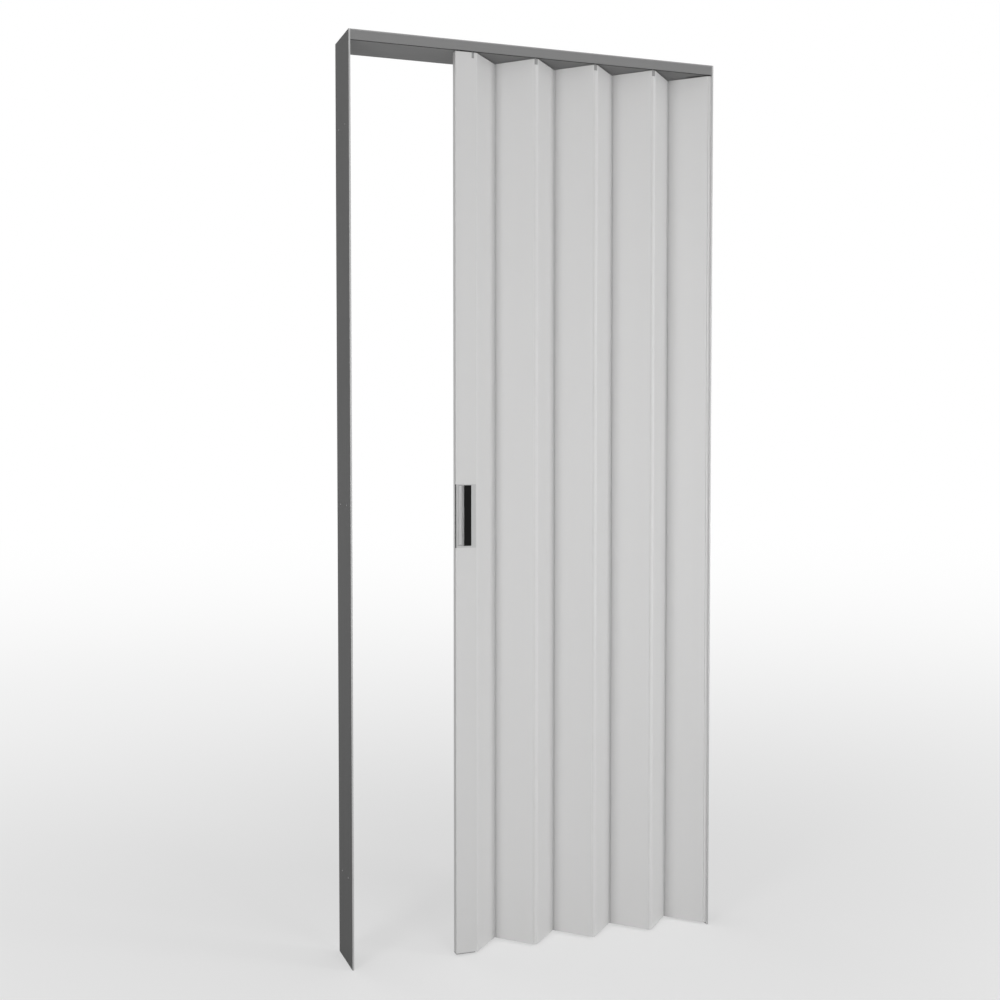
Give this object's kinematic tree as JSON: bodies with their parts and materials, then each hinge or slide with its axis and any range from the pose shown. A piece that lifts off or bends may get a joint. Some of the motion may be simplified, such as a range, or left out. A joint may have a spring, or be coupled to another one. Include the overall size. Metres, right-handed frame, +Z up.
{
  "type": "accordion door",
  "caption": "Accordion door in a slim metal frame: hollow slats hang from wheels in a head track and fold sideways, led by a post with a flush pull.",
  "frame": {"origin": "middle of the frame's footprint on the floor", "axes": "+X towards the jamb that the curtain folds to, +Y towards the back of the door, +Z up"},
  "size_m": [0.9, 0.13, 2.1],
  "materials": {
    "frame_metal": "satin anodised",
    "slat_white": "satin",
    "strip_white": "satin",
    "hanger_grey": "moulded",
    "wheel_nylon": "moulded",
    "steel": "zinc plated",
    "handle_grey": "fine moulded texture",
    "grip_black": "satin black",
    "buffer_rubber": "matt"
  },
  "bodies": {
    "frame": {"left_jamb": "frame_metal", "right_jamb": "frame_metal", "top_board": "frame_metal", "head_track": "frame_metal", "jamb_screws": "steel", "track_screws": "steel", "fixing_profile": "strip_white", "fixing_screws": "steel", "track_buffer": "buffer_rubber"},
    "slat_1": {"slat_1": "slat_white"},
    "slat_2": {"slat_2": "slat_white"},
    "slat_3": {"slat_3": "slat_white"},
    "slat_4": {"slat_4": "slat_white"},
    "slat_5": {"slat_5": "slat_white"},
    "slat_6": {"slat_6": "slat_white"},
    "slat_7": {"slat_7": "slat_white"},
    "slat_8": {"slat_8": "slat_white"},
    "fold_2": {"back_strip_2": "strip_white"},
    "fold_3": {"front_strip_3": "strip_white", "hanger_3": "hanger_grey"},
    "fold_4": {"back_strip_4": "strip_white"},
    "fold_5": {"front_strip_5": "strip_white", "hanger_5": "hanger_grey"},
    "fold_6": {"back_strip_6": "strip_white"},
    "fold_7": {"front_strip_7": "strip_white", "hanger_7": "hanger_grey"},
    "fold_8": {"back_strip_8": "strip_white"},
    "lead": {"lead_post": "slat_white", "lead_hanger": "hanger_grey", "foot_plug": "hanger_grey", "plug_screws": "steel", "handle_cup": "handle_grey", "grip_bar": "grip_black", "handle_screws": "steel"},
    "wheelset_3": {"axle_3": "steel", "wheels_3": "wheel_nylon"},
    "wheelset_5": {"axle_5": "steel", "wheels_5": "wheel_nylon"},
    "wheelset_7": {"axle_7": "steel", "wheels_7": "wheel_nylon"},
    "lead_wheelset_left": {"lead_axle_left": "steel", "lead_wheels_left": "wheel_nylon"},
    "lead_wheelset_right": {"lead_axle_right": "steel", "lead_wheels_right": "wheel_nylon"}
  },
  "joints": [
    {"name": "fold_pair_8_7", "type": "hinge", "parent": "frame", "child": "slat_8", "pos_m": [0.4384, -0.0555, 1.04], "axis": [0, 0, -1], "range_deg": [-40.96, 36.04]},
    {"name": "strip_8_turn", "type": "hinge", "parent": "slat_8", "child": "fold_8", "pos_m": [0.37196, 0.01565, 1.04], "axis": [0, 0, 1], "range_deg": [-40.96, 36.04]},
    {"name": "slat_7_turn", "type": "hinge", "parent": "fold_8", "child": "slat_7", "pos_m": [0.36356, 0.01565, 1.04], "axis": [0, 0, 1], "range_deg": [-40.96, 36.04]},
    {"name": "strip_7_turn", "type": "hinge", "parent": "slat_7", "child": "fold_7", "pos_m": [0.29712, -0.0555, 1.04], "axis": [0, 0, -1], "range_deg": [-40.96, 36.04]},
    {"name": "fold_pair_6_5", "type": "hinge", "parent": "fold_7", "child": "slat_6", "pos_m": [0.28873, -0.0555, 1.04], "axis": [0, 0, -1], "range_deg": [-40.96, 36.04]},
    {"name": "strip_6_turn", "type": "hinge", "parent": "slat_6", "child": "fold_6", "pos_m": [0.22229, 0.01565, 1.04], "axis": [0, 0, 1], "range_deg": [-40.96, 36.04]},
    {"name": "slat_5_turn", "type": "hinge", "parent": "fold_6", "child": "slat_5", "pos_m": [0.21389, 0.01565, 1.04], "axis": [0, 0, 1], "range_deg": [-40.96, 36.04]},
    {"name": "strip_5_turn", "type": "hinge", "parent": "slat_5", "child": "fold_5", "pos_m": [0.14745, -0.0555, 1.04], "axis": [0, 0, -1], "range_deg": [-40.96, 36.04]},
    {"name": "fold_pair_4_3", "type": "hinge", "parent": "fold_5", "child": "slat_4", "pos_m": [0.13905, -0.0555, 1.04], "axis": [0, 0, -1], "range_deg": [-40.96, 36.04]},
    {"name": "strip_4_turn", "type": "hinge", "parent": "slat_4", "child": "fold_4", "pos_m": [0.07261, 0.01565, 1.04], "axis": [0, 0, 1], "range_deg": [-40.96, 36.04]},
    {"name": "slat_3_turn", "type": "hinge", "parent": "fold_4", "child": "slat_3", "pos_m": [0.06421, 0.01565, 1.04], "axis": [0, 0, 1], "range_deg": [-40.96, 36.04]},
    {"name": "strip_3_turn", "type": "hinge", "parent": "slat_3", "child": "fold_3", "pos_m": [-0.00222, -0.0555, 1.04], "axis": [0, 0, -1], "range_deg": [-40.96, 36.04]},
    {"name": "fold_pair_2_1", "type": "hinge", "parent": "fold_3", "child": "slat_2", "pos_m": [-0.01063, -0.0555, 1.04], "axis": [0, 0, -1], "range_deg": [-40.96, 36.04]},
    {"name": "strip_2_turn", "type": "hinge", "parent": "slat_2", "child": "fold_2", "pos_m": [-0.07706, 0.01565, 1.04], "axis": [0, 0, 1], "range_deg": [-40.96, 36.04]},
    {"name": "slat_1_turn", "type": "hinge", "parent": "fold_2", "child": "slat_1", "pos_m": [-0.08546, 0.01565, 1.04], "axis": [0, 0, 1], "range_deg": [-40.96, 36.04]},
    {"name": "lead_turn", "type": "hinge", "parent": "slat_1", "child": "lead", "pos_m": [-0.1519, -0.0555, 1.04], "axis": [0, 0, -1], "range_deg": [-40.96, 36.04]},
    {"name": "wheels_3_roll", "type": "hinge", "parent": "fold_3", "child": "wheelset_3", "pos_m": [-0.00643, -0.0555, 2.0855], "axis": [0, 1, 0], "continuous": true},
    {"name": "wheels_5_roll", "type": "hinge", "parent": "fold_5", "child": "wheelset_5", "pos_m": [0.14325, -0.0555, 2.0855], "axis": [0, 1, 0], "continuous": true},
    {"name": "wheels_7_roll", "type": "hinge", "parent": "fold_7", "child": "wheelset_7", "pos_m": [0.29292, -0.0555, 2.0855], "axis": [0, 1, 0], "continuous": true},
    {"name": "lead_wheels_left_roll", "type": "hinge", "parent": "lead", "child": "lead_wheelset_left", "pos_m": [-0.192, -0.0555, 2.0855], "axis": [0, 1, 0], "continuous": true},
    {"name": "lead_wheels_right_roll", "type": "hinge", "parent": "lead", "child": "lead_wheelset_right", "pos_m": [-0.1605, -0.0555, 2.0855], "axis": [0, 1, 0], "continuous": true}
  ],
  "couplings": [
    {"joint": "strip_8_turn", "follows": "fold_pair_8_7", "ratio": 1},
    {"joint": "slat_7_turn", "follows": "fold_pair_8_7", "ratio": 1},
    {"joint": "strip_7_turn", "follows": "fold_pair_8_7", "ratio": 1},
    {"joint": "strip_6_turn", "follows": "fold_pair_6_5", "ratio": 1},
    {"joint": "slat_5_turn", "follows": "fold_pair_6_5", "ratio": 1},
    {"joint": "strip_5_turn", "follows": "fold_pair_6_5", "ratio": 1},
    {"joint": "strip_4_turn", "follows": "fold_pair_4_3", "ratio": 1},
    {"joint": "slat_3_turn", "follows": "fold_pair_4_3", "ratio": 1},
    {"joint": "strip_3_turn", "follows": "fold_pair_4_3", "ratio": 1},
    {"joint": "strip_2_turn", "follows": "fold_pair_2_1", "ratio": 1},
    {"joint": "slat_1_turn", "follows": "fold_pair_2_1", "ratio": 1},
    {"joint": "lead_turn", "follows": "fold_pair_2_1", "ratio": 1}
  ]
}
